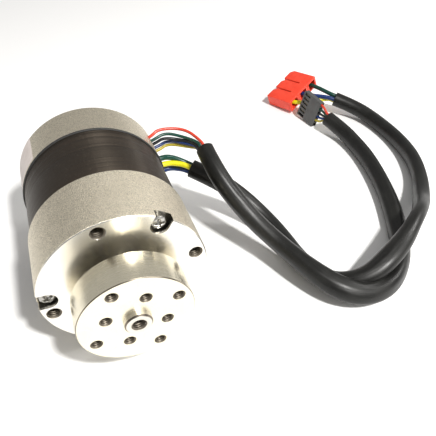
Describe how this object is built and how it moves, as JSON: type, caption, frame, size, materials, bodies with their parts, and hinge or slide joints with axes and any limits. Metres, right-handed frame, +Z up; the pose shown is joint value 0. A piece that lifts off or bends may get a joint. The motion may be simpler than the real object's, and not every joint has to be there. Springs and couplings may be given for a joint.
{
  "type": "lawn mower blade motor",
  "caption": "Round brushless motor for a mower blade: two end caps on a dark stator, a drilled hub on the shaft, and two sleeved cables to a power and a signal connector.",
  "frame": {"origin": "centre of the front mounting face, on the shaft axis", "axes": "+Y back along the shaft, -Y towards the blade, +Z up as the motor lies on its side"},
  "size_m": [0.1957, 0.1662, 0.057],
  "materials": {
    "blasted_aluminium": "bead blasted",
    "turned_aluminium": "turned",
    "lamination": "satin lacquer",
    "insulator": "moulded",
    "copper": "enamelled copper",
    "board": "solder mask",
    "sensor": "moulded",
    "zinc_steel": "zinc plated",
    "black_steel": "black oxide",
    "spring_steel": "plain",
    "shaft_steel": "ground",
    "magnet": "nickel plated",
    "bearing_steel": "ground",
    "cage_steel": "pressed",
    "black_rubber": "matt",
    "sleeve": "satin",
    "red_housing": "moulded",
    "grey_housing": "moulded",
    "tinned_brass": "tin plated",
    "wire_red": "insulation",
    "wire_green": "insulation",
    "wire_black": "insulation",
    "wire_blue": "insulation",
    "wire_yellow": "insulation",
    "wire_bright_yellow": "insulation"
  },
  "bodies": {
    "motor_body": {"front_end_cap": "blasted_aluminium", "rear_end_cap": "blasted_aluminium", "stator_core": "lamination", "front_slot_insulator": "insulator", "rear_slot_insulator": "insulator", "stator_coils": "copper", "winding_leads": "copper", "sensor_board": "board", "hall_sensors": "sensor", "board_screws": "zinc_steel", "tie_screws": "zinc_steel", "bearing_preload_spring": "spring_steel", "front_bearing_outer_ring": "bearing_steel", "rear_bearing_outer_ring": "bearing_steel", "front_shaft_seal": "black_rubber", "front_bearing_shields": "black_rubber", "rear_bearing_shields": "black_rubber", "hall_lead_grommet": "black_rubber", "phase_lead_grommet": "black_rubber", "hall_cable_sleeve": "sleeve", "phase_cable_sleeve": "sleeve", "power_connector_housing": "red_housing", "signal_connector_housing": "grey_housing", "power_terminals": "tinned_brass", "signal_terminals": "tinned_brass", "hall_wire_red": "wire_red", "hall_wire_green": "wire_green", "phase_wire_green": "wire_green", "hall_wire_black": "wire_black", "hall_wire_blue": "wire_blue", "phase_wire_blue": "wire_blue", "hall_wire_yellow": "wire_yellow", "phase_wire_yellow": "wire_bright_yellow"},
    "rotor": {"shaft": "shaft_steel", "shaft_clip": "black_steel", "rotor_core": "shaft_steel", "rotor_magnets": "magnet", "blade_hub": "turned_aluminium", "hub_grub_screw": "black_steel", "front_bearing_inner_ring": "bearing_steel", "rear_bearing_inner_ring": "bearing_steel"},
    "front_ball_set": {"front_bearing_balls": "bearing_steel", "front_bearing_cage": "cage_steel"},
    "rear_ball_set": {"rear_bearing_balls": "bearing_steel", "rear_bearing_cage": "cage_steel"}
  },
  "joints": [
    {"name": "rotor_spin", "type": "hinge", "parent": "motor_body", "child": "rotor", "pos_m": [0, 0.03, 0], "axis": [0, -1, 0], "continuous": true},
    {"name": "front_cage_roll", "type": "hinge", "parent": "motor_body", "child": "front_ball_set", "pos_m": [0, 0.03, 0], "axis": [0, -1, 0], "continuous": true},
    {"name": "rear_cage_roll", "type": "hinge", "parent": "motor_body", "child": "rear_ball_set", "pos_m": [0, 0.03, 0], "axis": [0, -1, 0], "continuous": true}
  ],
  "couplings": [
    {"joint": "front_cage_roll", "follows": "rotor_spin", "ratio": 0.35576},
    {"joint": "rear_cage_roll", "follows": "rotor_spin", "ratio": 0.35576}
  ]
}
